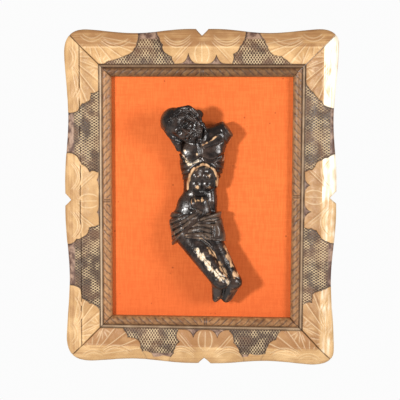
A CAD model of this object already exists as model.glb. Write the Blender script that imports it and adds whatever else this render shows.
"""A broken wooden corpus on a cloth-covered board, in a carved part-gilt frame.

Sizes are in millimetres, measured from the middle of the frame's opening: across to the right, out from the
wall or board towards the viewer, and up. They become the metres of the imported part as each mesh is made.
"""

import math

import bpy
import numpy as np
from mathutils import Matrix


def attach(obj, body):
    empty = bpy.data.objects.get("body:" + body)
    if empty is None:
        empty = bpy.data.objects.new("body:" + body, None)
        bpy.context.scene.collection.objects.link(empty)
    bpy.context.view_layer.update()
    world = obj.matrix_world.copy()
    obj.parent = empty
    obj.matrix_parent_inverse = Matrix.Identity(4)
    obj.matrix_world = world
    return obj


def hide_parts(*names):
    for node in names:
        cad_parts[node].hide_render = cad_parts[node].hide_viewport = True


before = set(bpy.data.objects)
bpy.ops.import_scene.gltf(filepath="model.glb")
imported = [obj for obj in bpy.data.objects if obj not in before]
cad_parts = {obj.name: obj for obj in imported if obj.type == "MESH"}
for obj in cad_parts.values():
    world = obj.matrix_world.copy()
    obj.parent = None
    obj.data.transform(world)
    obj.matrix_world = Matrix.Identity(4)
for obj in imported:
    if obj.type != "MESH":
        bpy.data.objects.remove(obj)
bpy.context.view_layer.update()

# Sizes shared with the solids
MM = 0.001
OPENING_WIDTH = 223
OPENING_HEIGHT = 298
OPENING_MIDDLE_UP = -179
MITRE_REACH = 50.5
MITRE_GAP = 0.15
SMALL_GAP = 0.3
LIP_HEIGHT = 14.5
RIBBON_WIDTH = 10.2
RIBBON_HEIGHT = 18.6
BEAD_WIDTH = 3.2
BEAD_HEIGHT = 18.8
BEAD_FLOOR = 17.2
COVE_START = 17.4
COVE_FLOOR = 18.4
RIDGE_START = 36.6
RIDGE_END = 38.8
RIDGE_HEIGHT = 25.5
BAND_REACH = 64
BAND_HEIGHT = 10.5
COVE_SAG = -1.6
BAND_SWELL = 1.2
REBATE_WIDTH = 7
SCALLOP_SWING = 5.2
SCALLOP_CREST = 0.08
NOTCH_DEPTH = 8
NOTCH_HALF_WIDTH = 7.5
PANEL_FRONT = 8
RELIEF = 0.8


def to_part(across, out, up):
    """Points in the part's own metres, from distances across, out from the wall and up, in millimetres."""
    return np.stack([across, -out, up + OPENING_MIDDLE_UP], -1) * MM


def smooth_step(value, low, high):
    """0 below low, 1 above high, and an even S-curve between them."""
    share = np.clip((value - low) / (high - low), 0, 1)
    return share * share * (3 - 2 * share)


def bump_at(value, width):
    """A soft bump, 1 where the value is 0 and nearly gone at twice the width."""
    return np.exp(-((value / width) ** 2))


def lattice_noise(x, y, z, seed):
    """Smooth noise between -1 and 1: a hashed value at every whole-number point, blended along all three axes."""
    cell = [np.floor(v).astype(np.int64) for v in (x, y, z)]
    share = [v - c for v, c in zip((x, y, z), cell)]
    share = [s * s * (3 - 2 * s) for s in share]
    total = 0
    for corner in range(8):
        step = (corner & 1, corner >> 1 & 1, corner >> 2)
        key = (cell[0] + step[0]) * 73856093 ^ (cell[1] + step[1]) * 19349663 ^ (cell[2] + step[2]) * 83492791
        key = (key ^ seed * 2654435761) & 0xFFFFFFFF
        key = (key ^ key >> 15) * 2246822519 & 0xFFFFFFFF
        key = (key ^ key >> 13) & 0xFFFF
        weight = 1
        for s, n in zip(share, step):
            weight = weight * (s if n else 1 - s)
        total = total + weight * (key / 32767.5 - 1)
    return total


def make_piece(name, points, corners, sizes, material, stands_for, marks, sharp_angle=None):
    """A mesh object in place of a CAD node: points, the point of each face corner, the number of corners of
    each face, and a named value at every point for each surface mark."""
    mesh = bpy.data.meshes.new(name)
    mesh.vertices.add(len(points))
    mesh.vertices.foreach_set("co", points.astype(np.float32).ravel())
    mesh.loops.add(len(corners))
    mesh.loops.foreach_set("vertex_index", corners.astype(np.int32))
    mesh.polygons.add(len(sizes))
    starts = np.concatenate([[0], np.cumsum(sizes)[:-1]]).astype(np.int32)
    mesh.polygons.foreach_set("loop_start", starts)
    mesh.polygons.foreach_set("loop_total", sizes.astype(np.int32))
    mesh.polygons.foreach_set("use_smooth", np.ones(len(sizes), bool))
    mesh.update(calc_edges=True)
    for mark, values in marks.items():
        layer = mesh.attributes.new(mark, "FLOAT", "POINT")
        layer.data.foreach_set("value", np.ascontiguousarray(values, np.float32).ravel())
    if sharp_angle is not None:
        mesh.set_sharp_from_angle(angle=math.radians(sharp_angle))
    mesh.materials.append(material)
    piece = bpy.data.objects.new(name, mesh)
    bpy.context.scene.collection.objects.link(piece)
    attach(piece, "root")
    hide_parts(stands_for)
    return piece


# Materials


class Surface:
    """A new material with a few short ways to add nodes and join them. A socket or a plain value can be given."""

    def __init__(self, name):
        self.material = bpy.data.materials.new(name)
        self.material.use_nodes = True
        self.tree = self.material.node_tree
        self.shader = self.tree.nodes["Principled BSDF"]

    def put(self, value, socket):
        if isinstance(value, bpy.types.NodeSocket):
            self.tree.links.new(value, socket)
        elif value is not None:
            socket.default_value = value

    def node(self, kind, inputs=(), **settings):
        made = self.tree.nodes.new(kind)
        for key, value in settings.items():
            setattr(made, key, value)
        for key, value in dict(inputs).items():
            self.put(value, made.inputs[key])
        return made

    def mark(self, name):
        return self.node("ShaderNodeAttribute", attribute_name=name).outputs["Fac"]

    def math(self, operation, a, b=None):
        made = self.node("ShaderNodeMath", {0: a}, operation=operation)
        self.put(b, made.inputs[1])
        return made.outputs[0]

    def times(self, a, b):
        return self.math("MULTIPLY", a, b)

    def plus(self, a, b):
        return self.math("ADD", a, b)

    def fit(self, value, low, high, to_low=0.0, to_high=1.0):
        inputs = {"Value": value, "From Min": low, "From Max": high, "To Min": to_low, "To Max": to_high}
        return self.node("ShaderNodeMapRange", inputs, interpolation_type="SMOOTHSTEP").outputs["Result"]

    def mix(self, share, a, b):
        made = self.node("ShaderNodeMix", {0: share, 6: a, 7: b}, data_type="RGBA")
        return made.outputs[2]

    def noise(self, place, scale, detail=3.0, roughness=0.55):
        inputs = {"Vector": place, "Scale": scale, "Detail": detail, "Roughness": roughness}
        return self.node("ShaderNodeTexNoise", inputs).outputs["Fac"]

    def place(self, stretch=(1, 1, 1)):
        coordinates = self.node("ShaderNodeTexCoord").outputs["Object"]
        return self.node("ShaderNodeMapping", {"Vector": coordinates, "Scale": stretch}).outputs["Vector"]

    def bump(self, height, distance, strength=1.0, under=None):
        inputs = {"Height": height, "Distance": distance, "Strength": strength}
        made = self.node("ShaderNodeBump", inputs)
        self.put(under, made.inputs["Normal"])
        return made.outputs["Normal"]


def colour(red, green, blue):
    """A colour given as it looks on a screen, from 0 to 255, in the renderer's linear values."""
    shares = [value / 255 for value in (red, green, blue)]
    return tuple(s / 12.92 if s <= 0.04045 else ((s + 0.055) / 1.055) ** 2.4 for s in shares) + (1.0,)


LATTICE_PITCH = 2.85
LATTICE_TURN = math.radians(34)


def carved_gilt():
    """Worn gold leaf on the carving, a brown ground with an incised lattice, dark lines, and bare wood behind."""
    s = Surface("carved_gilt_wood")
    place = s.place()
    broad = s.noise(place, 30.0, 4.0)
    fine = s.noise(place, 260.0, 3.0)
    age = s.mark("age")
    gold = s.mix(s.fit(broad, 0.38, 0.64), colour(190, 150, 100), colour(212, 174, 124))
    gold = s.mix(s.times(s.fit(fine, 0.52, 0.75), 0.4), gold, colour(178, 132, 82))
    gold = s.mix(s.fit(age, 0.0, 1.0, 0.0, 0.85), gold, colour(148, 102, 62))
    gold = s.mix(s.fit(age, -0.1, -0.9, 0.0, 0.95), gold, colour(252, 244, 224))
    places = s.node("ShaderNodeSeparateXYZ", {"Vector": s.node("ShaderNodeUVMap", uv_map="carving").outputs["UV"]})
    lines = []
    for sign in (1, -1):
        run = s.plus(s.times(places.outputs["X"], math.cos(LATTICE_TURN) / LATTICE_PITCH),
                     s.times(places.outputs["Y"], sign * math.sin(LATTICE_TURN) / LATTICE_PITCH))
        lines.append(s.fit(s.math("PINGPONG", run, 0.5), 0.33, 0.47))
    lattice = s.math("MAXIMUM", lines[0], lines[1])
    patchy = s.fit(s.noise(place, 70.0, 3.0), 0.4, 0.62, 0.2, 1.0)
    ground = s.mix(s.fit(broad, 0.4, 0.6), colour(56, 35, 28), colour(92, 60, 42))
    ground = s.mix(s.times(s.times(lattice, patchy), s.mark("hatch")), ground, colour(220, 194, 150))
    strip = s.mix(s.fit(s.noise(place, 110.0, 4.0), 0.4, 0.62), colour(92, 66, 56), colour(164, 134, 114))
    ground = s.mix(s.mark("plain_ground"), ground, strip)
    tone = s.mix(s.mark("gilt"), ground, gold)
    ribbon = s.mix(s.fit(fine, 0.3, 0.75), colour(140, 94, 56), colour(178, 132, 86))
    ribbon = s.mix(s.fit(age, 0.0, 1.0, 0.0, 0.9), ribbon, s.mix(s.fit(fine, 0.3, 0.75), colour(84, 52, 28),
                                                                 colour(112, 78, 40)))
    tone = s.mix(s.mark("ribbon"), tone, ribbon)
    bead = s.mix(s.fit(age, 0.0, 1.0), colour(196, 170, 140), colour(132, 104, 78))
    tone = s.mix(s.times(s.mark("bead"), 0.9), tone, bead)
    tone = s.mix(s.times(s.mark("light"), 0.34), tone, colour(250, 230, 190))
    tone = s.mix(s.times(s.mark("line"), 0.93), tone, colour(48, 31, 22))
    grain = s.noise(s.place((3, 3, 30)), 60.0, 4.0)
    bare = s.mix(s.fit(grain, 0.35, 0.7), colour(148, 108, 72), colour(182, 142, 98))
    tone = s.mix(s.mark("bare"), tone, bare)
    s.put(tone, s.shader.inputs["Base Color"])
    s.put(s.fit(fine, 0.3, 0.7, 0.42, 0.62), s.shader.inputs["Roughness"])
    relief = s.math("SUBTRACT", s.times(fine, 0.5), s.times(s.times(lattice, s.mark("hatch")), 0.6))
    s.put(s.bump(relief, 0.0005, 0.7), s.shader.inputs["Normal"])
    return s.material


def carved_wood():
    """Dark waxed wood: near black in the hollows, rubbed through to tan and cream in broken streaks, with grey
    brown folds and torn fibres at the breaks."""
    s = Surface("dark_carved_wood")
    place = s.place()
    broad = s.noise(place, 75.0, 4.0)
    fine = s.noise(place, 420.0, 3.0)
    fibre = s.noise(s.node("ShaderNodeMapping", {"Vector": s.place(), "Rotation": (0, 0.42, 0),
                                                 "Scale": (1, 1, 0.2)}).outputs["Vector"], 260.0, 4.0)
    skin = s.mix(s.fit(broad, 0.38, 0.62), colour(22, 15, 13), colour(58, 44, 37))
    folds = s.mix(s.fit(broad, 0.38, 0.62), colour(54, 42, 36), colour(92, 76, 64))
    tone = s.mix(s.mark("cloth"), skin, folds)
    speckle = s.plus(s.times(s.fit(fibre, 0.36, 0.64), 0.45), s.times(s.fit(broad, 0.36, 0.64), 0.35))
    worn = s.fit(s.plus(s.mark("rubbed"), s.plus(s.times(s.mark("crest"), 0.3), speckle)), 0.92, 1.2)
    tan = s.mix(s.fit(fibre, 0.36, 0.62), colour(140, 94, 58), colour(206, 166, 124))
    tone = s.mix(worn, tone, tan)
    pale = s.fit(s.plus(s.mark("pale"), speckle), 0.9, 1.2)
    tone = s.mix(pale, tone, s.mix(s.fit(fine, 0.4, 0.6), colour(206, 176, 140), colour(240, 226, 204)))
    torn = s.mix(s.fit(fibre, 0.38, 0.66), colour(24, 16, 15), colour(112, 80, 58))
    tone = s.mix(s.mark("torn"), tone, torn)
    tone = s.mix(s.times(s.mark("hollow"), 0.9), tone, colour(10, 7, 6))
    s.put(tone, s.shader.inputs["Base Color"])
    dull = s.math("MAXIMUM", s.times(worn, 0.5), s.mark("torn"))
    s.put(s.plus(s.fit(dull, 0.0, 1.0, 0.2, 0.46), s.fit(fine, 0.35, 0.65, 0.0, 0.12)), s.shader.inputs["Roughness"])
    tool = s.bump(broad, 0.0016, 0.6)
    s.put(s.bump(s.plus(s.times(fibre, 0.7), s.times(fine, 0.3)), 0.0006, 0.6, tool), s.shader.inputs["Normal"])
    return s.material


def orange_cloth():
    """Plain-woven orange cloth with faint slubs both ways and a few dark flecks, and a brown board behind."""
    s = Surface("orange_woven_cloth")
    place = s.place()
    upright = s.noise(s.place((10, 10, 1)), 60.0, 3.0)
    level = s.noise(s.place((1, 1, 10)), 60.0, 3.0)
    slubs = s.plus(s.times(upright, 0.6), s.times(level, 0.4))
    broad = s.noise(place, 9.0, 3.0)
    tone = s.mix(s.fit(slubs, 0.4, 0.6), colour(214, 103, 48), colour(226, 115, 56))
    tone = s.mix(s.fit(broad, 0.35, 0.7, 0.0, 0.3), tone, colour(208, 94, 44))
    axes = s.node("ShaderNodeSeparateXYZ", {"Vector": place})
    tone = s.mix(s.fit(axes.outputs["Z"], -0.17, -0.36, 0.0, 0.5), tone, colour(190, 82, 38))
    fleck = s.node("ShaderNodeTexVoronoi", {"Vector": place, "Scale": 130.0}).outputs["Distance"]
    chosen = s.fit(s.noise(place, 40.0, 1.0), 0.6, 0.66)
    tone = s.mix(s.times(s.fit(fleck, 0.2, 0.1), s.times(chosen, 0.55)), tone, colour(128, 48, 20))
    threads = []
    for axis in ("X", "Z"):
        threads.append(s.math("PINGPONG", s.times(axes.outputs[axis], 1100.0), 0.5))
    weave = s.times(threads[0], threads[1])
    tone = s.mix(s.fit(weave, 0.02, 0.0, 0.0, 0.2), tone, colour(176, 70, 30))
    behind = s.fit(axes.outputs["Y"], -0.0032, -0.0026)
    grain = s.noise(s.place((1, 1, 12)), 70.0, 4.0)
    board = s.mix(s.fit(grain, 0.35, 0.65), colour(122, 88, 60), colour(150, 112, 78))
    tone = s.mix(behind, tone, board)
    s.put(tone, s.shader.inputs["Base Color"])
    s.shader.inputs["Roughness"].default_value = 0.9
    s.shader.inputs["Specular IOR Level"].default_value = 0.2
    s.put(s.bump(s.plus(s.times(weave, 3.0), slubs), 0.0003, 0.5), s.shader.inputs["Normal"])
    return s.material


# Frame rails. The moulding is seen here as it is worn: one fine bead between two dark grooves, and the ridge a
# little nearer the opening than the solids' straight section has it.

GROOVES = (10.6, 14.5)
BEAD_SPAN = (11.2, 13.9)
BEAD_TOP = 18.7
GROOVE_FLOOR = 17.0
CARVED_FROM = 15.2
CARVED_FLOOR = 17.8
WORN_RIDGE = (33.9, 35.7)

# Each rail: its turn, half its sight length, how far its lobes reach, where the middle of its palmette lies, and the
# edges of the gilding on its two halves as (distance out, distance from the rail's middle): the palmette's, then the
# corner leaf's. Then the clefts between the palmette's lobes (place, height), how far out the ground runs near the
# middle and near the corner, the open crack at its two mitres and along its ridge, and how dark with age its ribbon,
# its slope and its outer band are.
RAILS = {
    "top": dict(
        turn=0, half=OPENING_WIDTH / 2, reach=57.6, middle=0.5, seed=3,
        palmette=(((17, 33), (24, 36), (27, 42), (30, 45.5), (38, 46.5), (46, 51), (58, 54)),
                  ((17, 37), (27, 38), (30.5, 43.5), (36, 46), (42, 50), (46, 52), (58, 51.5))),
        leaf=(((15, 121), (18, 116), (25.5, 92), (28, 86), (33, 82), (38.5, 79), (58, 80)),
              ((15, 111), (20, 103), (24.5, 97), (25.5, 88), (29, 83), (36, 80), (43, 77), (58, 70))),
        clefts=((-16, 28), (18, 26)), ground_to=(90, 90), mitre=(0.8, 0.3), ridge_crack=0.0, age=(0.95, 0.25, (0.8, 0.7))),
    "right": dict(
        turn=1, half=OPENING_HEIGHT / 2, reach=54.2, middle=-3, seed=11,
        palmette=(((17, 34), (24, 36), (27, 40), (29, 45), (34, 48), (42, 51), (58, 55)),
                  ((17, 35), (24, 35), (30, 37), (34, 43), (38, 48), (43, 51), (58, 52))),
        leaf=(((15, 143), (18, 137), (24, 131), (29, 124), (34, 120), (37, 115), (58, 113)),
              ((15, 131), (26, 128), (27, 117), (31, 114), (37, 112), (42, 110), (58, 109))),
        clefts=((-17.5, 21.5), (15, 23.5)), ground_to=(90, 90), mitre=(0.4, 1.0), ridge_crack=0.1,
        age=(0.5, 0.6, (-0.75, -0.2))),
    "bottom": dict(
        turn=2, half=OPENING_WIDTH / 2, reach=59.4, middle=-6, seed=23,
        palmette=(((17, 36), (19, 38), (26, 41), (30, 41), (34, 45), (42, 48), (58, 53)),
                  ((17, 28), (24, 30), (30, 25), (34, 30), (38, 31), (45, 33), (58, 38))),
        leaf=(((15, 100), (26, 94), (28, 88), (33, 84), (38, 82), (43, 81), (58, 77)),
              ((15, 98), (18, 96), (26, 91), (27, 82), (31, 76), (38, 75), (44, 73), (58, 69))),
        clefts=((-21, 25), (9, 25)), ground_to=(50, 44.5), mitre=(1.0, 0.8), ridge_crack=0.0, age=(0.5, 0.85, (0.2, 0.2))),
    "left": dict(
        turn=3, half=OPENING_HEIGHT / 2, reach=58.2, middle=-4, seed=37,
        palmette=(((17, 34), (24, 36), (27, 37), (29, 44), (34, 48), (43, 51), (48, 56), (58, 58)),
                  ((17, 31), (24, 33), (26, 31), (30, 38), (35, 41), (38, 46), (43, 52), (58, 54))),
        leaf=(((15, 142), (20, 136), (27, 133), (31, 129), (36, 126), (38.5, 113), (58, 112)),
              ((15, 132), (24, 129), (25, 121), (29, 118), (34, 116), (37, 112), (40, 107), (58, 106))),
        clefts=((-18, 17.5), (22, 17.5)), ground_to=(90, 90), mitre=(0.8, 0.9), ridge_crack=1.0,
        age=(0.1, 0.25, (0.3, 0.3))),
}
COLUMNS = 641
FACE_ROWS = 84
FIXED_REACH = 42
ROPE_PITCH = 9.4
LEAF_PIVOT = (27, 50)
CLEFT_WIDTH = 3.3
TONGUE_HALF_WIDTH = 8.5


def edge_reach(share, rail):
    """How far the sawn edge stands out: the lobes' reach, less one cosine wave between crests, less a notch near the
    middle, less a rounding that grows as the square of the way into the mitre's corner."""
    away = np.abs(share)
    wave = (1 - np.cos(2 * np.pi * (away - SCALLOP_CREST) / (1 - 2 * SCALLOP_CREST))) / 2
    aside = np.abs(share * (rail["half"] + rail["reach"]) - rail["middle"] * 0.8)
    notch = np.maximum(0, 1 - aside / NOTCH_HALF_WIDTH)
    edge = rail["reach"] - SCALLOP_SWING * wave - NOTCH_DEPTH * notch ** 0.85
    drop = rail["reach"] - MITRE_REACH
    rounding = np.maximum(0, 1 - (1 - away) * (rail["half"] + MITRE_REACH) / (4 * drop))
    return edge - drop * rounding * rounding


def arch(distance, start, end, low, high, rise):
    """A straight slope between two places with a parabola of the given rise on it."""
    share = np.clip((distance - start) / (end - start), 0, 1)
    return low + (high - low) * share + rise * 4 * share * (1 - share)


def moulding(distance):
    """Height of the plain moulding at each distance out: a rounded ribbon, a bead between two grooves, a cove, a flat
    ridge and a falling outer band."""
    ribbon_rise = RIBBON_HEIGHT - (LIP_HEIGHT + BEAD_FLOOR) / 2
    return np.select(
        [distance < GROOVES[0], distance < BEAD_SPAN[0], distance < BEAD_SPAN[1], distance < CARVED_FROM,
         distance < WORN_RIDGE[0], distance < WORN_RIDGE[1]],
        [arch(distance, 0, GROOVES[0], LIP_HEIGHT, GROOVE_FLOOR, ribbon_rise),
         np.full_like(distance, GROOVE_FLOOR),
         arch(distance, *BEAD_SPAN, GROOVE_FLOOR, GROOVE_FLOOR, BEAD_TOP - GROOVE_FLOOR),
         arch(distance, BEAD_SPAN[1], CARVED_FROM, GROOVE_FLOOR, CARVED_FLOOR, -0.2),
         arch(distance, CARVED_FROM, WORN_RIDGE[0], CARVED_FLOOR, RIDGE_HEIGHT, COVE_SAG),
         np.full_like(distance, RIDGE_HEIGHT)],
        arch(distance, WORN_RIDGE[1], BAND_REACH, RIDGE_HEIGHT, BAND_HEIGHT, BAND_SWELL))


def by_half(along, pair):
    """The first value on the rail's near half and the second on its far half, blended across the middle."""
    far = smooth_step(along, -6, 6)
    return pair[0] * (1 - far) + pair[1] * far


def lobed_edge(distance, places, side):
    """An edge through the given places, with a parabola between each two, so that it swells in round lobes."""
    found = np.interp(distance, [d for d, _ in places], [a for _, a in places])
    for (d, a), (e, b) in zip(places, places[1:]):
        share = np.clip((distance - d) / (e - d), 0, 1)
        found = found + side * min(2.4, 0.13 * math.hypot(e - d, b - a)) * 4 * share * (1 - share)
    return found


def fan(angle, radius, places, width, start):
    """Lines that run out from one point at the given angles, in degrees, fading in past a start radius."""
    lines = 0
    for place in places:
        away = radius * np.sin(angle - math.radians(place))
        ahead = smooth_step(radius * np.cos(angle - math.radians(place)), start, start + 6)
        lines = np.maximum(lines, bump_at(away, width) * ahead)
    return lines


def garland(distance, along, middle, half_width, low, rise, width):
    """A hanging line along a parabola, lowest at its middle."""
    share = (along - middle) / half_width
    fade = smooth_step(1 - np.abs(share), 0, 0.15)
    return bump_at(distance - (low + rise * share * share), width) * fade


def carving(distance, along, rail):
    """Height added to the moulding, and the surface marks, at each place on a rail's face."""
    corner = rail["half"] + MITRE_REACH
    from_corner = corner - np.abs(along)
    middle = np.abs(along)
    aside = np.abs(along - rail["middle"])
    seed = rail["seed"]
    wander = lattice_noise(along / 7, distance / 7, 0 * along, seed)
    ragged = lattice_noise(along / 1.6, distance / 1.6, 0 * along, seed + 7)
    seam = (rail["half"] + distance - middle) / math.sqrt(2)
    band = smooth_step(distance, CARVED_FROM - 0.6, CARVED_FROM + 0.2)

    palm_edge = by_half(along, [lobed_edge(distance, places, 1) for places in rail["palmette"]])
    leaf_edge = by_half(along, [lobed_edge(distance, places, -1) for places in rail["leaf"]])
    palm_side = palm_edge - middle + 0.35 * wander + 0.2 * ragged
    leaf_side = middle - leaf_edge + 0.35 * wander + 0.2 * ragged
    cleft_side = distance - CARVED_FROM
    for place, top in rail["clefts"]:
        cleft_side = np.minimum(cleft_side, distance - CARVED_FROM
                                - (top - CARVED_FROM) * np.exp(-np.abs(along - place) / CLEFT_WIDTH))
    in_cleft = smooth_step(-cleft_side, -0.4, 0.4) * (palm_side > 2)
    leaf = smooth_step(leaf_side, -0.5, 0.5)
    palm = smooth_step(palm_side, -0.5, 0.5) * smooth_step(cleft_side, -0.4, 0.4)
    corner_share = smooth_step(middle, 58, 62)
    ground_to = rail["ground_to"][0] * (1 - corner_share) + rail["ground_to"][1] * corner_share
    outside = distance - ground_to - 1.5 * np.sin(along / 4) + wander
    strip = smooth_step(outside, -0.5, 0.5)
    gilt = np.maximum(np.maximum(leaf, palm), strip) * band

    across, out = from_corner - LEAF_PIVOT[0], LEAF_PIVOT[1] - distance
    angle, radius = np.arctan2(across, out), np.hypot(across, out)
    leaf_veins = fan(angle, radius, (-38, -20, 0, 20, 38, 54, 68, 79), 0.6, 12)
    leaf_dark = fan(angle, radius, (-34, -16, 4, 23, 41, 56, 70), 0.8, 12)
    inner, inner_out = from_corner - MITRE_REACH + 12, distance - 15
    small_angle, small_radius = np.arctan2(inner, inner_out), np.hypot(inner, inner_out)
    small = fan(small_angle, small_radius, (-28, 4, 34, 62), 0.7, 2) * smooth_step(16 - small_radius, 0, 6)
    tongue_share = np.clip((distance - 27) / 12, -1, 1)
    tongue = bump_at(aside - TONGUE_HALF_WIDTH * np.sqrt(1 - 0.9 * tongue_share ** 2), 0.75)
    tongue = np.maximum(tongue, 0.9 * bump_at(along - rail["middle"], 0.6))
    tongue = tongue * smooth_step(distance, CARVED_FROM + 1, 19) * smooth_step(43 - distance, 0, 5)
    lean = aside - 13 - 0.95 * (41 - distance)
    blades = np.maximum(bump_at(lean, 0.8), 0.7 * bump_at(lean - 4.5, 0.7))
    blades = blades * smooth_step(distance, 20, 24) * smooth_step(44 - distance, 0, 5) * (aside > 10)
    hangs = np.maximum.reduce([garland(distance, aside, 30, 17, low, 10, 0.75) for low in (34.8, 38.2, 41.2)])
    corner_hangs = np.maximum.reduce([
        garland(distance, from_corner, 58, 19, 35.2, 9, 0.75), garland(distance, from_corner, 58, 16, 39.5, 7, 0.7),
        garland(distance, from_corner, 28, 15, 42, 8, 0.7), garland(distance, from_corner, 28, 12, 46, 6, 0.7)])
    light = np.maximum.reduce([
        leaf_veins * leaf, 0.9 * small * leaf, tongue * palm, blades * palm, hangs * palm, 0.9 * corner_hangs * leaf])
    clear = smooth_step(seam, 0.8, 3) * band
    light = light * clear
    dark = np.maximum(leaf_dark * leaf, bump_at(lean + 1.9, 0.7) * palm * (aside > 10) * (distance < 40))
    dark = np.maximum(dark, garland(distance, aside, 30, 17, 36.3, 10, 0.6) * palm)
    dark = np.maximum(dark, garland(distance, from_corner, 58, 19, 37.2, 9, 0.6) * leaf) * clear

    rim = np.maximum(bump_at(leaf_side + 0.9, 0.8), bump_at(palm_side + 0.9, 0.8) * (palm_side < 0.2))
    rim = np.maximum(rim * (1 - in_cleft), bump_at(cleft_side + 0.3, 0.7) * (palm_side > 1) * (distance > 16.5))
    rim = rim * band * (1 - gilt * 0.6) * smooth_step(distance, 16, 17)
    lift = RELIEF * gilt + 0.35 * wander * gilt + 0.35 * light * gilt - 0.6 * dark * gilt - 0.5 * rim
    lift = lift * (1 - smooth_step(-seam, -1, 0)) + 0.12 * ragged * band

    rope = smooth_step(distance, 0.6, 2) * smooth_step(GROOVES[0] - 0.6 - distance, 0, 0.8)
    run = (aside + 1.05 * distance) / ROPE_PITCH + 0.12 * wander
    turn = bump_at(((run + 0.5) % 1 - 0.5) * ROPE_PITCH, 0.95)
    second = bump_at(((run + 0.12) % 1 - 0.5) * ROPE_PITCH, 0.6) * 0.35 * smooth_step(distance, 3, 7)
    knot = bump_at(aside - 1.2, 0.7)
    turn = np.where(aside < 4, knot, np.maximum(turn, second)) * rope
    creases = np.maximum(bump_at(distance - GROOVES[0], 0.95), 0.95 * bump_at(distance - GROOVES[1], 0.75))
    creases = creases * (0.8 + 0.2 * lattice_noise(along / 11, 0 * along, 0 * along, seed + 2))
    lift = lift - 0.5 * turn - 0.6 * creases

    ridge = bump_at(distance - WORN_RIDGE[1] - 1.3 - 0.5 * lattice_noise(along / 25, 0 * along, 0 * along, 5), 0.5)
    ridge = ridge * rail["ridge_crack"] * smooth_step(lattice_noise(along / 6, 0 * along, 0 * along, 8), -0.7, -0.1)
    open_seam = by_half(along, rail["mitre"]) * bump_at(seam, 0.75)
    open_seam = open_seam * (0.75 + 0.35 * lattice_noise(distance / 5, 0 * along, 0 * along, seed + 3))
    lift = lift - 1.2 * ridge - 0.8 * open_seam

    outer = smooth_step(distance, WORN_RIDGE[1] - 0.6, WORN_RIDGE[1] + 0.8)
    streaks = lattice_noise(along / 26, distance / 1.3, 0 * along, seed + 4)
    age = rail["age"][1] * (1 - outer) + by_half(along, rail["age"][2]) * outer
    age = age + outer * 0.3 * streaks + 0.22 * wander + 0.3 * dark
    line = np.maximum.reduce([0.9 * turn, creases, 0.9 * rim, ridge, open_seam])
    marks = {
        "gilt": gilt,
        "hatch": (1 - gilt) * band * (1 - in_cleft) * (1 - 0.9 * smooth_step(distance, 44, 46.5)),
        "plain_ground": (1 - gilt) * band * np.maximum(smooth_step(distance, 44, 46.5), 0.8 * in_cleft),
        "ribbon": smooth_step(BEAD_SPAN[0] - distance, -0.3, 0.3),
        "bead": smooth_step(distance, *np.add(BEAD_SPAN[0], (-0.2, 0.4))) * smooth_step(CARVED_FROM - distance, 0, 0.6),
        "light": np.clip(light * gilt * (1 - 0.3 * outer), 0, 1),
        "age": np.where(distance < CARVED_FROM, rail["age"][0] + 0.2 * wander, age),
        "line": np.clip(line, 0, 1),
    }
    return lift, marks


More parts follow.
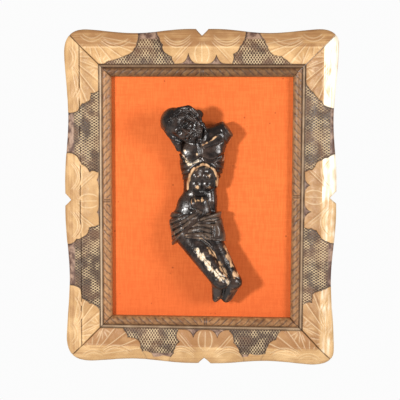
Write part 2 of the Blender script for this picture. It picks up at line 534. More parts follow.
def rail_piece(name, rail, material):
    """A rail as one grid: its section, walked from the sight edge out over the face, down the sawn edge, in along
    the back and round the rebate, is carried from mitre to mitre. A point's place along the rail is its share of
    the half length at its own distance out, so both ends lie in the mitre planes. Each end is closed by one face."""
    share = np.linspace(-1, 1, COLUMNS)
    reach = edge_reach(share, rail)[None, :]
    inner_rows = int(FACE_ROWS * 0.76)
    fixed = np.linspace(0, 1, inner_rows)[:, None] ** 0.95 * FIXED_REACH * np.ones_like(reach)
    outer = FIXED_REACH + np.linspace(0, 1, FACE_ROWS - inner_rows + 1)[1:, None] * (reach - FIXED_REACH)
    face = np.concatenate([fixed, outer])
    gap = MITRE_GAP * math.sqrt(2)
    along_at = lambda distance: share[None, :] * (rail["half"] + distance - gap)
    lift, marks = carving(face, along_at(face), rail)
    rounding = 1.4 * np.maximum(0, 1 - (reach - face) / 3) ** 2
    height = moulding(face) + lift - rounding
    height[0] = LIP_HEIGHT
    ledge = PANEL_FRONT + SMALL_GAP
    down = np.linspace(1, 0, 10)[1:, None]
    back = np.linspace(1, 0, 5)[1:, None]
    three = np.linspace(0, 1, 4)[1:, None]
    ones = np.ones_like(reach)
    distance = np.concatenate([
        face, reach * np.ones_like(down), REBATE_WIDTH + (reach - REBATE_WIDTH) * back,
        REBATE_WIDTH * ones * np.ones_like(three), REBATE_WIDTH * (1 - three) * ones, 0 * three[:-1] * ones])
    rise = np.concatenate([
        height, height[-1:] * down, 0 * back * ones, ledge * three * ones, ledge * np.ones_like(three) * ones,
        (ledge + (LIP_HEIGHT - ledge) * three[:-1]) * ones])
    along = along_at(distance)
    rows = len(distance)
    for mark, values in marks.items():
        marks[mark] = np.concatenate([values, np.zeros((rows - FACE_ROWS, COLUMNS))])
    sawn_edge = slice(FACE_ROWS, FACE_ROWS + len(down) - 1)
    lip = slice(rows - len(three) + 1, rows)
    for mark in ("gilt", "plain_ground", "age"):
        marks[mark][sawn_edge] = marks[mark][FACE_ROWS - 1]
    marks["ribbon"][lip] = 1
    marks["age"][lip] = rail["age"][0]
    marks["bare"] = np.zeros((rows, COLUMNS))
    marks["bare"][sawn_edge.stop:lip.start] = 1

    point = np.arange(rows * COLUMNS).reshape(rows, COLUMNS)
    below = np.roll(point, -1, 0)
    quads = np.stack([point[:, :-1], point[:, 1:], below[:, 1:], below[:, :-1]], -1).reshape(-1, 4)
    corners = np.concatenate([quads.ravel(), point[:, 0], point[::-1, -1]])
    sizes = np.concatenate([np.full(len(quads), 4), [rows, rows]])
    out = distance + (OPENING_HEIGHT if rail["turn"] % 2 == 0 else OPENING_WIDTH) / 2
    turn = rail["turn"] * math.pi / 2
    across = along * math.cos(turn) + out * math.sin(turn)
    up = -along * math.sin(turn) + out * math.cos(turn)
    points = to_part(across.ravel(), rise.ravel(), up.ravel())
    piece = make_piece(name, points, corners, sizes, material, "frame_rail_" + name.split("_")[-1],
                       marks, sharp_angle=50)
    layer = piece.data.uv_layers.new(name="carving")
    places = np.stack([along.ravel(), distance.ravel()], -1)[corners]
    layer.data.foreach_set("uv", places.astype(np.float32).ravel())
    return piece


# Figure. Places are (across, out from the board, up) from the middle of the opening.

HEAD_TILT = math.radians(52)
HEAD_BOW = math.radians(20)
HEAD_CENTRE = (-26.3, 32.5, 91)
EAR = (math.cos(HEAD_TILT), 0, math.sin(HEAD_TILT))
FACE = (math.sin(HEAD_TILT) * math.sin(HEAD_BOW), math.cos(HEAD_BOW), -math.cos(HEAD_TILT) * math.sin(HEAD_BOW))
CROWN = (-math.sin(HEAD_TILT) * math.cos(HEAD_BOW), math.sin(HEAD_BOW), math.cos(HEAD_TILT) * math.cos(HEAD_BOW))
HEAD_AXES = (EAR, FACE, CROWN)
BODY_AXES = ((1, 0, 0), (0, 1, 0), (0, 0, 1))
FIGURE_LOW = np.array([-56, -2.2, -134])
FIGURE_HIGH = np.array([60, 62, 121])
FINE_STEP = 0.78
COARSE = 4
CARVING_REACH = 6


def in_head(ear, face, crown):
    """A place given along the head's own axes, from its centre."""
    return tuple(HEAD_CENTRE[i] + ear * EAR[i] + face * FACE[i] + crown * CROWN[i] for i in range(3))


def soft_min(a, b, width):
    """The lesser of two distances, with the crease between them filled over the given width."""
    overlap = np.maximum(width - np.abs(a - b), 0) / width
    return np.minimum(a, b) - overlap * overlap * (width / 4)


def soft_max(a, b, width):
    """The greater of two distances, with the edge between them rounded over the given width."""
    return -soft_min(-a, -b, width)


def ball(place, radii, axes=BODY_AXES):
    """Distance to a ball stretched by a radius along each of three axes: the size of the point in those radii, less
    one, over how fast it grows there."""
    def distance(x, y, z):
        a, b, c = x - place[0], y - place[1], z - place[2]
        p, q, r = ((a * u[0] + b * u[1] + c * u[2]) / radius for u, radius in zip(axes, radii))
        size = np.sqrt(p * p + q * q + r * r)
        slope = np.sqrt((p / radii[0]) ** 2 + (q / radii[1]) ** 2 + (r / radii[2]) ** 2) + 1e-9
        return size * (size - 1) / slope
    return distance


def limb(start, end, start_radius, end_radius, strands=0, depth=0.0, twist=0.0):
    """Distance to a straight limb that tapers from one radius to another. With strands, its surface ripples as a
    cosine round the limb, turned along it by the twist, so it looks combed."""
    run = np.subtract(end, start).astype(float)
    square = float(run @ run)
    axis = run / math.sqrt(square)
    side = np.cross(axis, (0.3, 1, 0.2))
    side = side / np.linalg.norm(side)
    over = np.cross(axis, side)

    def distance(x, y, z):
        a, b, c = x - start[0], y - start[1], z - start[2]
        share = np.clip((a * run[0] + b * run[1] + c * run[2]) / square, 0, 1)
        p, q, r = a - share * run[0], b - share * run[1], c - share * run[2]
        found = np.sqrt(p * p + q * q + r * r) - (start_radius + share * (end_radius - start_radius))
        if strands:
            turn = np.arctan2(p * over[0] + q * over[1] + r * over[2], p * side[0] + q * side[1] + r * side[2])
            found = found + depth * (0.5 - 0.5 * np.cos(strands * turn + twist * share))
        return found
    return distance


def lock(places, radii, strands=0, depth=0.0, twist=0.0):
    """Limbs end to end through a row of places, each with its own radius."""
    return [limb(a, b, r, s, strands, depth, twist) for a, b, r, s in zip(places, places[1:], radii, radii[1:])]


def behind(place, normal):
    """Distance in front of a flat break that looks along the normal."""
    size = math.hypot(*normal)
    return lambda x, y, z: ((x - place[0]) * normal[0] + (y - place[1]) * normal[1] + (z - place[2]) * normal[2]) / size


def stroke(start, bend, end, width, rise):
    """A chisel stroke seen from the front, along a quadratic curve: its rise fades as a bell curve with the
    distance from it. A rise below zero is a cut."""
    share = np.linspace(0, 1, 7)[:, None]
    path = (1 - share) ** 2 * start + 2 * share * (1 - share) * bend + share ** 2 * end
    low = path.min(0) - 3 * width
    high = path.max(0) + 3 * width

    def rise_at(x, z):
        found = np.zeros_like(x)
        near = np.flatnonzero((x > low[0]) & (x < high[0]) & (z > low[1]) & (z < high[1]))
        if len(near):
            a, b = x[near], z[near]
            least = np.full(len(near), np.inf)
            for (ax, az), (bx, bz) in zip(path, path[1:]):
                dx, dz = bx - ax, bz - az
                s = np.clip(((a - ax) * dx + (b - az) * dz) / (dx * dx + dz * dz + 1e-9), 0, 1)
                least = np.minimum(least, (a - ax - s * dx) ** 2 + (b - az - s * dz) ** 2)
            found[near] = rise * np.exp(-least / width ** 2)
        return found
    return rise_at


def combed(start, bend, end, count, spacing, width, rise):
    """Strokes side by side, each moved over by the spacing."""
    run = np.subtract(end, start)
    side = np.array([-run[1], run[0]]) / math.hypot(*run)
    shifts = (np.arange(count) - (count - 1) / 2) * spacing
    return [stroke(start + d * side, bend + d * side, end + d * side, width, rise) for d in shifts]


def united(forms, blend):
    """One distance from several, each crease filled over the blend."""
    def distance(x, y, z):
        found = forms[0](x, y, z)
        for form in forms[1:]:
            found = soft_min(found, form(x, y, z), blend)
        return found
    return distance


def carved(found, strokes, x, y, z, depth=None):
    """A distance with strokes on it. They act near the surface, and die out from the front towards the board."""
    front = np.clip(((y if depth is None else depth) - 6) / 8, 0, 1)
    near = np.flatnonzero((np.abs(found) < CARVING_REACH) & (front > 0))
    if len(near):
        a, b = x[near], z[near]
        found = found.copy()
        found[near] -= front[near] * sum(mark(a, b) for mark in strokes)
    return found


torso = united([
    ball((1, 14, 47), (27, 17, 33)),
    ball((3, 13, 66), (25, 12.5, 16)),
    ball((-2, 13, 10), (19.5, 13, 26)),
    ball((-7, 14.5, -27), (29.5, 16.5, 24)),
], 12)
muscles = united([
    ball((-11.5, 23, 55.5), (13.5, 7.5, 10.5)),
    ball((14, 22, 57), (13, 7, 10)),
    ball((-16, 14, -9), (13.5, 12, 16)),
    ball((13.5, 13.5, -3), (6.5, 9.5, 15)),
], 3)
shoulders = united([limb((10, 14, 74.5), (22, 15, 79), 13.5, 12), limb((-8, 14, 66), (-20, 15, 66), 12, 9.5)], 6)
neck = limb((1, 18, 72), (-16, 27, 86), 10, 9)
arm_stump = limb((20, 15, 77), (40, 17, 92), 12, 9.8)
arm_break = behind((31.8, 16, 87), (0.8, 0.1, 0.6))
thighs = united([
    limb((-14, 22, -45), (22.8, 37, -95), 16.3, 10.2),
    limb((10, 16, -44), (39.5, 28, -97), 13.5, 9.6),
    ball((27, 38.5, -98), (9.4, 8.4, 9)),
    ball((42, 29, -100), (9.6, 9, 8.8)),
], 3)
shins = [
    (limb((22, 33, -100), (20.5, 24, -121.5), 8, 5.6), behind((20.5, 24, -125.5), (0.6, 0.35, -0.7))),
    (limb((39, 27, -102), (33, 18, -120.5), 10.8, 7.6), behind((41, 24, -116), (0.6, 0.5, -0.62))),
]
BREAK_BLEND = 1.0

CHEST_MIDDLE = 2.5
torso_strokes = [
    stroke((2, 38), (2, 25), (1, 12), 9, -2.6),
    stroke((-15.5, 12), (-15.5, 40), (3, 43.5), 2.1, 2.6),
    stroke((19.5, 16), (23, 42), (3, 43.5), 2.1, 2.6),
    stroke((3, 37), (4, 36), (5, 36), 3.6, -1.6),
    stroke((-7, 5.5), (0, 3.5), (6, 5.5), 1.2, -1.6),
    stroke((-6, -3), (-2, -4), (4, -3), 6.5, 2.2),
    stroke((8.5, 11), (9, 1), (14, -14), 2.4, -1.5),
    stroke((-26, 57), (-13, 37), (0, 52), 1.6, -2),
    stroke((4, 51), (14, 42), (27, 56), 1.6, -1.6),
    stroke((-2.5, 68), (0.5, 58), (2, 45), 1.8, -1.4),
    stroke((1, 67), (9, 69), (21, 79), 1.7, 1.7),
    stroke((5, 88), (6, 80), (3, 70), 1.6, 1.2),
    stroke((2, 24), (2, 18), (1.5, 9), 1.0, -1.0),
    stroke((-9, 12), (-6, 8), (-2, 10), 1.0, -0.9),
    stroke((15, 13), (10, 8), (5, 10), 1.0, -0.9),
    stroke((-12, 3), (-13, -4), (-11, -11), 1.2, -1.1),
    stroke((5, 63), (14, 66), (26, 70), 1.0, -0.8),
    stroke((24, 84), (30, 76), (31, 66), 1.2, -0.8),
]
for side in (-1, 1):
    for level in 46 - 7.0 * np.arange(4):
        far = (CHEST_MIDDLE + side * 27, level - 3)
        bend = (CHEST_MIDDLE + side * 24, level + 1)
        torso_strokes.append(stroke(far, bend, (CHEST_MIDDLE + side * 19, level + 3), 1.7, 1))
        torso_strokes.append(stroke(far, np.add(bend, (0, -3.4)), (CHEST_MIDDLE + side * 18, level - 0.6), 0.9, -0.8))
    for level in (27.5, 16):
        spot = (CHEST_MIDDLE - 0.5 + side * 6.2, level)
        torso_strokes.append(stroke(spot, spot, np.add(spot, (0, 0.1)), 4, 2.7))
leg_strokes = [
    stroke((-6, -60), (14, -76), (30, -96), 1.1, -0.7),
    stroke((22, -90), (26, -89), (31, -92), 1.0, -0.8),
    stroke((20, -99), (25, -105), (33, -101), 1.2, -0.9),
    stroke((36, -93), (42, -91), (47, -95), 1.0, -0.7),
]

CLOTH_THICKNESS = 2.2
cloth_flap = united([
    limb((-25, 14, -30), (-27.5, 15, -61), 12, 8.2),
    limb((-20, 24, -34), (-25, 22, -54), 10, 8),
    limb((16, 17, -26), (19, 19, -44), 10, 11.5),
], 5)
cloth_tail = limb((0, 31, -44), (15, 29.5, -61), 6, 3.2)
cloth_strokes = [
    stroke((-38, -24), (-28, -22), (-15, -15.5), 1.4, -2.2),
    stroke((-35, -31), (-20, -22.5), (-5, -14), 1.5, -2.6),
    stroke((-33, -37.5), (-19, -28.5), (-2, -16.5), 1.5, -2.6),
    stroke((-29, -42.5), (-16, -33), (0, -20), 1.5, -2.6),
    stroke((-33, -59), (-18, -34), (5, -17), 1.9, -4.2),
    stroke((-9, -25.5), (-6, -25), (-2, -25), 2.4, -2),
    stroke((-5, -24), (8, -21), (25, -16), 2.2, 2.6),
    stroke((0, -27.5), (8, -27.5), (17, -28), 1.9, -3.2),
    stroke((-18, -35), (0, -30.5), (14, -35.5), 1.4, -2),
    stroke((-18, -40), (0, -36), (14, -40.5), 1.4, -2),
    stroke((14.5, -30), (16.5, -37), (15, -46), 1.6, 2.2),
    stroke((20, -31), (25, -36), (22, -43), 3, 1.2),
    stroke((-37, -27), (-26, -23), (-12, -16), 0.8, -1.0),
    stroke((-34, -34), (-20, -26), (-4, -15), 0.8, -1.1),
    stroke((-30, -39.5), (-18, -31), (-1, -18), 0.8, -1.1),
    stroke((-34, -46), (-28, -43), (-22, -36), 1.0, -1.4),
    stroke((-35, -52), (-30, -48), (-25, -41), 1.0, -1.2),
    stroke((-2, -21.5), (9, -18.5), (24, -14), 0.8, -0.9),
    stroke((3, -25), (12, -23), (27, -21), 0.9, -0.9),
    stroke((-15, -37.6), (-2, -33.6), (12, -38), 0.7, -0.8),
    stroke((-21, -43.5), (0, -42), (24, -48), 0.8, -1.0),
    stroke((18, -25), (23, -24), (30, -22), 0.9, -1.0),
]
tail_strokes = combed((-2, -46), (8, -52), (17, -62), 3, 3.6, 1.2, -1.8)
tail_strokes += combed((0, -46), (9, -52), (17, -61), 2, 3.6, 0.6, 0.5)

skull = united([
    ball(in_head(0, -1, 6.5), (16.6, 18.5, 16.6), HEAD_AXES),
    ball(in_head(0, 4.5, -6), (12.8, 12.5, 17), HEAD_AXES),
], 6)
face_forms = united([
    limb(in_head(-6.5, 14.4, 2), in_head(6.5, 14.4, 2), 2.6, 2.6),
    limb(in_head(0, 15.8, 1), in_head(0, 19.4, -8.6), 1.4, 2.1),
    ball(in_head(-2.2, 17, -9.2), (1.7, 1.9, 1.5), HEAD_AXES),
    ball(in_head(2.2, 17, -9.2), (1.7, 1.9, 1.5), HEAD_AXES),
    ball(in_head(-7, 12, -8), (4.6, 4.2, 4.6), HEAD_AXES),
    ball(in_head(7, 12, -8), (4.6, 4.2, 4.6), HEAD_AXES),
    ball(in_head(0, 15.8, -13.6), (4.2, 2.3, 1.1), HEAD_AXES),
    ball(in_head(0, 15.4, -16), (3.6, 2.4, 1.3), HEAD_AXES),
], 1.6)
eye_hollows = united([ball(in_head(ear, 18.4, -2), (3.7, 3.6, 2.8), HEAD_AXES) for ear in (-5.4, 5.4)], 1)
eyelids = united([ball(in_head(ear, 14, -2.2), (3, 2.4, 1.9), HEAD_AXES) for ear in (-5.4, 5.4)], 1)
beard = united([ball(in_head(0, 12, -20), (6, 5, 4.5), HEAD_AXES)] + [
    part for side in (-1, 1) for part in lock(
        [in_head(10.5 * side, 5, -8), in_head(8 * side, 9, -16), in_head(4 * side, 12, -23),
         in_head(4.5 * side, 11, -28)], (3.2, 3.8, 4, 2), 6, 1.0, 4 * side)
] + [
    part for side in (-1, 1) for part in lock(
        [in_head(0.6 * side, 17.2, -12), in_head(4.5 * side, 15.6, -13.6), in_head(7.5 * side, 13, -17)],
        (1.0, 1.4, 1.2), 4, 0.5, 3)
], 1.2)
hair = united(
    lock([in_head(2, 13, 16), in_head(13, 9, 13), in_head(21, 4, 3), in_head(21.5, 3, -9), in_head(16, 2, -20)],
         (3, 5, 6, 5.8, 4.4), 9, 1.3, 5)
    + lock([in_head(3, 14.5, 13), in_head(12.5, 12, 6), in_head(15.5, 9, -6), in_head(13.5, 9, -17)],
           (2.4, 3.6, 4.4, 4), 7, 1.1, 6)
    + [ball(in_head(25, 0.5, -11.5), (5, 5, 6), HEAD_AXES)]
    + lock([in_head(-3, 14, 15), in_head(-12, 10, 10), in_head(-15.5, 6, -2), in_head(-14.5, 4, -12)],
           (2.4, 3.4, 4.4, 4.6), 7, 1.1, -5)
    + lock([(-2, 29, 93), (-1.5, 33, 84), (-3, 32, 73)], (4.6, 4.4, 3), 6, 1.2, 5)
    + lock([(-7, 38, 90), (-8, 38, 82), (-9, 35, 72)], (3.6, 3.4, 2.2), 5, 1.0, -5)
    + lock([(2.5, 30, 92), (5.5, 28, 83), (6, 27, 71)], (2.6, 2.8, 2.2), 5, 0.8, 4)
    + lock([(-42, 33, 90), (-35, 34, 80), (-28, 32, 68), (-26.5, 30, 61)], (6, 5.4, 4.4, 2.8), 7, 1.3, 5), 1.2)
face_strokes = [
    stroke((-8.4, -3.2), (-5.4, -4.6), (-2.6, -3.0), 0.55, -0.7),
    stroke((8.4, -3.2), (5.4, -4.6), (2.6, -3.0), 0.55, -0.7),
    stroke((-8.8, -1.2), (-5.4, 1.2), (-2.4, -0.8), 0.5, -0.5),
    stroke((8.8, -1.2), (5.4, 1.2), (2.4, -0.8), 0.5, -0.5),
    stroke((-9.5, 1.8), (-6, 4.2), (-1.8, 2.6), 0.9, 0.6),
    stroke((9.5, 1.8), (6, 4.2), (1.8, 2.6), 0.9, 0.6),
    stroke((-3.8, -14.9), (0, -14.3), (3.8, -14.9), 0.6, -1.0),
]
for side in (-1, 1):
    face_strokes += combed((2.5 * side, -17.5), (4.2 * side, -22), (4.4 * side, -28), 4, 1.7, 0.5, -0.7)
    face_strokes += combed((1.5 * side, -12), (4.5 * side, -13.2), (7.2 * side, -16), 2, 1.1, 0.35, -0.4)


def cloth_top(x):
    return -16.5 + 5 * np.exp(-(((x + 4) / 7) ** 2))


def cloth_hem(x):
    return -44 + np.where(x > -22, -0.13, 1.62) * (x + 22)


def bare_body(x, y, z):
    """The body under the cloth: torso, shoulders, the broken arm, muscles, neck, thighs and broken shins."""
    body = soft_min(torso(x, y, z), shoulders(x, y, z), 10)
    body = soft_min(body, soft_max(arm_stump(x, y, z), arm_break(x, y, z), BREAK_BLEND), 7)
    body = soft_min(body, muscles(x, y, z), 5)
    body = soft_min(body, neck(x, y, z), 6)
    body = soft_min(body, thighs(x, y, z), 6)
    for stump, end in shins:
        body = soft_min(body, soft_max(stump(x, y, z), end(x, y, z), BREAK_BLEND), 3)
    return body


def cloth_over(body, x, y, z):
    """The loincloth: the hips grown by its thickness, with its flaps, between its top edge and its hem."""
    layer = soft_min(body - CLOTH_THICKNESS, cloth_flap(x, y, z), 4)
    layer = soft_max(layer, z - cloth_top(x), 1.6)
    layer = soft_max(layer, cloth_hem(x) - z, 1.2)
    layer = carved(layer, cloth_strokes, x, y, z)
    tail = carved(cloth_tail(x, y, z), tail_strokes, x, y, z)
    return soft_min(layer, tail, 0.8)


def head_distance(x, y, z):
    """Skull and face with their hollows and eyelids, fine strokes on the face, then hair and beard."""
    a, b, c = x - HEAD_CENTRE[0], y - HEAD_CENTRE[1], z - HEAD_CENTRE[2]
    ear, face, crown = (a * u[0] + b * u[1] + c * u[2] for u in HEAD_AXES)
    head = soft_min(skull(x, y, z), face_forms(x, y, z), 2.5)
    head = soft_max(head, -eye_hollows(x, y, z), 1.5)
    head = soft_min(head, eyelids(x, y, z), 0.8)
    locks = soft_min(hair(x, y, z), beard(x, y, z), 1)
    return carved(soft_min(head, locks, 1.0), face_strokes, ear, face, crown, depth=face)


def figure_distance(x, y, z, parts=False):
    """The whole figure, cut flat where it meets the board. With parts, also the cloth's own distance."""
    body = bare_body(x, y, z)
    cloth = cloth_over(body, x, y, z)
    figure = carved(body, torso_strokes + leg_strokes, x, y, z)
    bare = figure
    figure = soft_min(figure, cloth, 0.8)
    near_head = (z > 45) & (x < 20)
    head = np.full_like(figure, 50)
    head[near_head] = head_distance(x[near_head], y[near_head], z[near_head])
    figure = soft_min(figure, head, 1.2)
    figure = soft_max(figure, SMALL_GAP - y, 0.4)
    return (figure, bare, cloth, head) if parts else figure


def sampled_field():
    """The figure's distance on a fine grid. A coarse grid finds where the surface runs, and only the fine points
    near it are worked out; the rest keep the coarse value's sign."""
    coarse_step = FINE_STEP * COARSE
    count = np.ceil((FIGURE_HIGH - FIGURE_LOW) / coarse_step).astype(int) + 1
    axes = [FIGURE_LOW[i] + coarse_step * np.arange(count[i]) for i in range(3)]
    grid = np.meshgrid(*axes, indexing="ij")
    coarse = figure_distance(*(g.ravel() for g in grid)).reshape(count)
    near = np.abs(coarse) < coarse_step * 1.5
    wide = near.copy()
    for axis in range(3):
        for step in (-1, 1):
            wide |= np.roll(near, step, axis)
    fine_count = (count - 1) * COARSE + 1
    index = [np.minimum((np.arange(n) + COARSE // 2) // COARSE, c - 1) for n, c in zip(fine_count, count)]
    field = coarse[np.ix_(*index)].astype(np.float32)
    chosen = np.nonzero(wide[np.ix_(*index)])
    places = [FIGURE_LOW[i] + FINE_STEP * chosen[i] for i in range(3)]
    values = np.empty(len(places[0]), np.float32)
    for part in np.array_split(np.arange(len(values)), 12):
        values[part] = figure_distance(*(p[part] for p in places))
    field[chosen] = values
    return field


def corner_values(field):
    """The eight views of a grid that hold each cell's eight corners, in the order of their bits along the axes."""
    cut = lambda bit: slice(1, None) if bit else slice(None, -1)
    return [field[cut(n & 1), cut(n >> 1 & 1), cut(n >> 2)] for n in range(8)]


def without_pinches(field):
    """The same field with the nearest empty sample made solid wherever solid samples meet only corner to corner,
    across a cell's face or right across a cell."""
    rings = [(0, 1, 3, 2), (0, 2, 6, 4), (0, 1, 5, 4), (0, 3, 7, 4), (1, 2, 6, 5)]
    for _ in range(6):
        solid = [v < 0 for v in corner_values(field)]
        size = sum(s.astype(np.int8) for s in solid)
        changed = 0
        groups = [(0, 1, 2, 3), (0, 2, 4, 6), (0, 1, 4, 5)]
        for a, b, c, d in groups:
            crossed = (solid[a] == solid[d]) & (solid[b] == solid[c]) & (solid[a] != solid[b])
            changed += fill_nearest(field, np.argwhere(crossed), (a, b, c, d))
        for n in range(4):
            lone = (solid[n] == solid[7 - n]) & (((size == 2) & solid[n]) | ((size == 6) & ~solid[n]))
            changed += fill_nearest(field, np.argwhere(lone), range(8))
        if changed == 0:
            break
    return field


def fill_nearest(field, cells, corners):
    """Makes the empty corner that is nearest to solid just solid, in each given cell."""
    if len(cells) == 0:
        return 0
    steps = np.array([(n & 1, n >> 1 & 1, n >> 2) for n in corners])
    places = cells[:, None, :] + steps[None]
    values = field[places[..., 0], places[..., 1], places[..., 2]]
    least = np.where(values >= 0, values, np.inf).argmin(1)
    chosen = places[np.arange(len(cells)), least]
    field[chosen[:, 0], chosen[:, 1], chosen[:, 2]] = np.minimum(
        field[chosen[:, 0], chosen[:, 1], chosen[:, 2]], -1e-3)
    return len(cells)


def net_over(field):
    """Points and four-sided faces on the field's zero level: one point in each cell that it crosses, in the middle of
    its crossings with the cell's edges, and a face round each grid edge that it crosses."""
    values = np.stack([v for v in corner_values(field)], -1)
    solid = values < 0
    crossed = solid.any(-1) & ~solid.all(-1)
    cells = np.argwhere(crossed)
    value = values[crossed]
    total = np.zeros((len(cells), 3))
    crossings = np.zeros(len(cells))
    corner = np.array([(n & 1, n >> 1 & 1, n >> 2) for n in range(8)], float)
    for n in range(8):
        for axis in range(3):
            other = n | 1 << axis
            if other != n:
                cut = (value[:, n] < 0) != (value[:, other] < 0)
                share = value[cut, n] / (value[cut, n] - value[cut, other])
                total[cut] += corner[n] + share[:, None] * (corner[other] - corner[n])
                crossings[cut] += 1
    points = FIGURE_LOW + FINE_STEP * (cells + total / crossings[:, None])
    number = np.full(crossed.shape, -1, np.int64)
    number[crossed] = np.arange(len(cells))
    faces = []
    inside = field < 0
    for axis in range(3):
        u, v = np.eye(3, dtype=int)[(axis + 1) % 3], np.eye(3, dtype=int)[(axis + 2) % 3]
        ahead = np.roll(inside, -1, axis)
        edges = np.argwhere(inside != ahead)
        edges = edges[(edges > 0).all(1) & (edges < np.array(number.shape)).all(1)]
        ring = [edges, edges - u, edges - u - v, edges - v]
        ring = np.stack([number[r[:, 0], r[:, 1], r[:, 2]] for r in ring], -1)
        outward = inside[edges[:, 0], edges[:, 1], edges[:, 2]]
        faces.append(np.where(outward[:, None], ring, ring[:, ::-1]))
    return points, np.concatenate(faces)


def largest_shell(points, faces):
    """The largest joined set of faces. Each point takes the least label among its neighbours, and labels are
    followed to their ends, until nothing changes."""
    label = np.arange(len(points))
    while True:
        least = label[faces].min(1)
        new = label.copy()
        np.minimum.at(new, faces.ravel(), np.repeat(least, 4))
        new = new[new]
        if (new == label).all():
            break
        label = new
    owner = label[faces[:, 0]]
    names, counts = np.unique(owner, return_counts=True)
    faces = faces[owner == names[counts.argmax()]]
    used, numbered = np.unique(faces, return_inverse=True)
    return points[used], numbered.reshape(faces.shape)


def slope_at(points, reach=0.25):
    """The field's value and its slope, from six samples a short way off along the axes."""
    slope = np.empty_like(points)
    for axis in range(3):
        step = np.zeros(3)
        step[axis] = reach
        slope[:, axis] = (figure_distance(*(points + step).T) - figure_distance(*(points - step).T)) / (2 * reach)
    return slope


def settled(points):
    """Points moved onto the true surface along its slope, and the outward direction there."""
    for _ in range(2):
        slope = slope_at(points)
        square = (slope ** 2).sum(1)
        move = figure_distance(*points.T) / np.maximum(square, 0.3)
        points = points - np.clip(move, -0.5, 0.5)[:, None] * slope
    normal = slope / np.sqrt(np.maximum(square, 1e-9))[:, None]
    return points, normal


def figure_marks(points, normal):
    """Surface marks of the figure: hollows and crests from how far the surface bends away within 1.8 mm, the cloth,
    the torn breaks, and the places that hands and time rubbed pale."""
    x, y, z = points.T
    figure, bare, cloth, head = figure_distance(x, y, z, parts=True)
    ahead = figure_distance(*(points + 1.8 * normal).T) - 1.8
    inside = figure_distance(*(points - 1.8 * normal).T) + 1.8
    deep = np.clip(-(ahead + inside) * 0.9, -1, 1)
    grain = lattice_noise(x / 2.2, y / 2.2, z / 6, 21)
    broad = lattice_noise(x / 7, y / 7, z / 9, 4)
    torn = np.zeros(len(x))
    for place, end, reach in TORN_PLACES:
        torn = np.maximum(torn, smooth_step(1.2 - np.abs(end(x, y, z)), 0, 0.8)
                          * smooth_step(reach - np.hypot(x - place[0], z - place[1]), 0, 2))
    cloth_share = smooth_step(bare - cloth, -0.4, 0.6) * (head > 3)
    rubbed = np.zeros(len(x))
    for path, width, share in RUBBED_LINES:
        rubbed = np.maximum(rubbed, share * line_share(x, z, path, width))
    pale = np.zeros(len(x))
    for path, width, share in PALE_LINES:
        pale = np.maximum(pale, share * line_share(x, z, path, width))
    front = smooth_step(y, 8, 14)
    return {
        "crest": np.clip(-deep * 2.2, 0, 1) * (0.75 + 0.25 * grain) * (1 - 0.7 * smooth_step(3 - head, 0, 3)),
        "hollow": np.clip(deep * 1.9, 0, 1) * (1 - torn),
        "cloth": cloth_share,
        "torn": torn,
        "rubbed": np.clip(rubbed * front + 0.15 * broad, 0, 1),
        "pale": np.clip(pale * front, 0, 1),
    }


def line_share(x, z, path, width):
    """A bell curve of the distance from a row of straight pieces, seen from the front."""
    least = np.full_like(x, np.inf)
    for (ax, az), (bx, bz) in zip(path, path[1:]):
        dx, dz = bx - ax, bz - az
        s = np.clip(((x - ax) * dx + (z - az) * dz) / (dx * dx + dz * dz + 1e-9), 0, 1)
        least = np.minimum(least, (x - ax - s * dx) ** 2 + (z - az - s * dz) ** 2)
    return np.exp(-least / width ** 2)


TORN_PLACES = [
    ((34, 82), arm_break, 16),
    ((20.5, -122), shins[0][1], 9),
    ((37, -118), shins[1][1], 13),
]
RUBBED_LINES = [
    (((-15.5, 14), (-14, 26), (-9, 36), (3, 43.5)), 2.4, 0.9),
    (((19.5, 18), (20.5, 28), (16, 37), (3, 43.5)), 2.4, 0.9),
    (((-1.6, 28.9), (-1.4, 28.6)), 3.4, 0.6),
    (((10, 28.9), (10.2, 28.6)), 3.4, 0.6),
    (((-4, 15.5), (-3.8, 15.3)), 3.4, 0.6),
    (((12, 15.5), (12.2, 15.3)), 3.4, 0.6),
    (((-8, 0), (5, -1)), 4.6, 0.55),
    (((-11, -2), (-10, -4)), 3.4, 0.7),
    (((3.3, 66.5), (12, 71), (20.6, 77.4)), 1.3, 0.6),
    (((19, 22), (24, 34)), 2.4, 0.6),
    (((10, -57), (20, -70), (33, -90)), 3.6, 0.62),
    (((29, -58), (36, -74), (44, -91)), 3.4, 0.75),
    (((22, -122), (23, -121)), 3, 0.6),
]
PALE_LINES = [
    (((-21.4, 53), (-13, 42.5), (-3, 48)), 2.2, 0.85),
    (((-19, 59), (-18.8, 59)), 1.8, 0.8),
    (((-4, 55.6), (-3.8, 55.6)), 1.6, 0.8),
    (((26, 95), (37, 93), (39, 78), (32, 64), (28, 48)), 2.0, 0.75),
    (((-4, -58), (7, -73), (17, -84), (26, -93)), 4.6, 0.95),
    (((30, -92), (34, -98), (35, -104)), 3.0, 0.6),
    (((49, -100), (49.2, -102)), 2, 0.7),
]


def figure_piece(material):
    """The figure as one closed mesh over its distance field."""
    points, faces = largest_shell(*net_over(without_pinches(sampled_field())))
    points, normal = settled(points)
    marks = figure_marks(points, normal)
    corner = points[faces]
    across = np.cross(corner[:, 2] - corner[:, 0], corner[:, 3] - corner[:, 1])
    if (across * corner.mean(1)).sum() < 0:
        faces = faces[:, ::-1]
    placed = to_part(points[:, 0], points[:, 1] + PANEL_FRONT, points[:, 2])
    return make_piece("carved_corpus", placed, faces[:, ::-1].ravel(), np.full(len(faces), 4), material,
                      "christ_figure", marks)


# Put together

gilt_surface = carved_gilt()
for rail_name, rail in RAILS.items():
    rail_piece("carved_rail_" + rail_name, rail, gilt_surface)
figure_piece(carved_wood())
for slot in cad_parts["backing_panel"].material_slots:
    slot.material = orange_cloth()


# Camera, light and floor

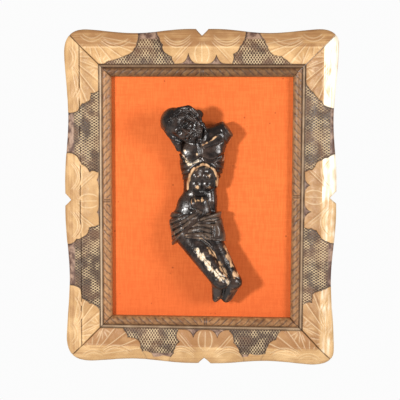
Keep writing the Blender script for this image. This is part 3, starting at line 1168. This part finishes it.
CAMERA_PLACE = (0.06255, -1.1932, -0.0678)
CAMERA_YAW = -0.05435
CAMERA_PITCH = -0.09578
CAMERA_ROLL = 0.00377
CAMERA_LENS = 86.4
LIGHT_TARGET = (0, -0.02, -0.18)


def direction(yaw, pitch):
    """The way a yaw to the right of +Y and a pitch upward look."""
    return np.array([math.sin(yaw) * math.cos(pitch), math.cos(yaw) * math.cos(pitch), math.sin(pitch)])


def aimed(place, forward, roll=0.0):
    """A pose at a place, with -Z along the forward way and +Y up."""
    right = np.cross(forward, (0, 0, 1))
    right = right / np.linalg.norm(right)
    up = np.cross(right, forward)
    turned_right = right * math.cos(roll) + up * math.sin(roll)
    turned_up = np.cross(-forward, turned_right)
    pose = np.eye(4)
    pose[:3, 0], pose[:3, 1], pose[:3, 2], pose[:3, 3] = turned_right, turned_up, -forward, place
    return Matrix(pose.tolist())


def soft_light(name, side, rise, reach, size, power, tint):
    """A square lamp at a reach from the work, turned aside from the panel's face and lifted by the given angles."""
    way = direction(math.radians(side), math.radians(rise)) * (1, -1, 1)
    lamp = bpy.data.lights.new(name, "AREA")
    lamp.size = size
    lamp.energy = power
    lamp.color = tint
    made = bpy.data.objects.new(name, lamp)
    made.matrix_world = aimed(np.array(LIGHT_TARGET) + way * reach, -way)
    bpy.context.scene.collection.objects.link(made)


def pale_floor(name, height, radius):
    """A round plain floor some way under the work."""
    count = 96
    turn = np.arange(count) * 2 * math.pi / count
    ring = np.stack([radius * np.cos(turn), radius * np.sin(turn), np.full(count, height)], -1)
    mesh = bpy.data.meshes.new(name)
    mesh.from_pydata(ring.tolist(), [], [list(range(count))])
    surface = Surface("pale_floor")
    surface.shader.inputs["Base Color"].default_value = (0.8, 0.8, 0.8, 1)
    surface.shader.inputs["Roughness"].default_value = 0.7
    mesh.materials.append(surface.material)
    made = bpy.data.objects.new(name, mesh)
    bpy.context.scene.collection.objects.link(made)


def studio_world(seen, given):
    """An even pale backdrop: one brightness where the camera sees it, and a lower one for the light that it gives."""
    world = bpy.data.worlds.new("studio")
    world.use_nodes = True
    tree = world.node_tree
    background = tree.nodes["Background"]
    path = tree.nodes.new("ShaderNodeLightPath")
    brightness = tree.nodes.new("ShaderNodeMapRange")
    brightness.inputs["To Min"].default_value = given
    brightness.inputs["To Max"].default_value = seen
    tree.links.new(path.outputs["Is Camera Ray"], brightness.inputs["Value"])
    tree.links.new(brightness.outputs["Result"], background.inputs["Strength"])
    background.inputs["Color"].default_value = (1, 1, 1, 1)
    bpy.context.scene.world = world


lens = bpy.data.cameras.new("photo_camera")
lens.lens = CAMERA_LENS
lens.sensor_width = 36
camera = bpy.data.objects.new("photo_camera", lens)
camera.matrix_world = aimed(np.array(CAMERA_PLACE), direction(CAMERA_YAW, CAMERA_PITCH), CAMERA_ROLL)
bpy.context.scene.collection.objects.link(camera)
bpy.context.scene.camera = camera

soft_light("left_key", -37, 5, 1.5, 0.16, 23, (1, 0.98, 0.95))
soft_light("right_fill", 50, 8, 1.5, 0.5, 17, (1, 0.98, 0.96))
studio_world(0.97, 0.26)
pale_floor("pale_floor", -0.95, 1.2)
bpy.context.scene.view_settings.view_transform = "Standard"
bpy.context.scene.view_settings.look = "None"
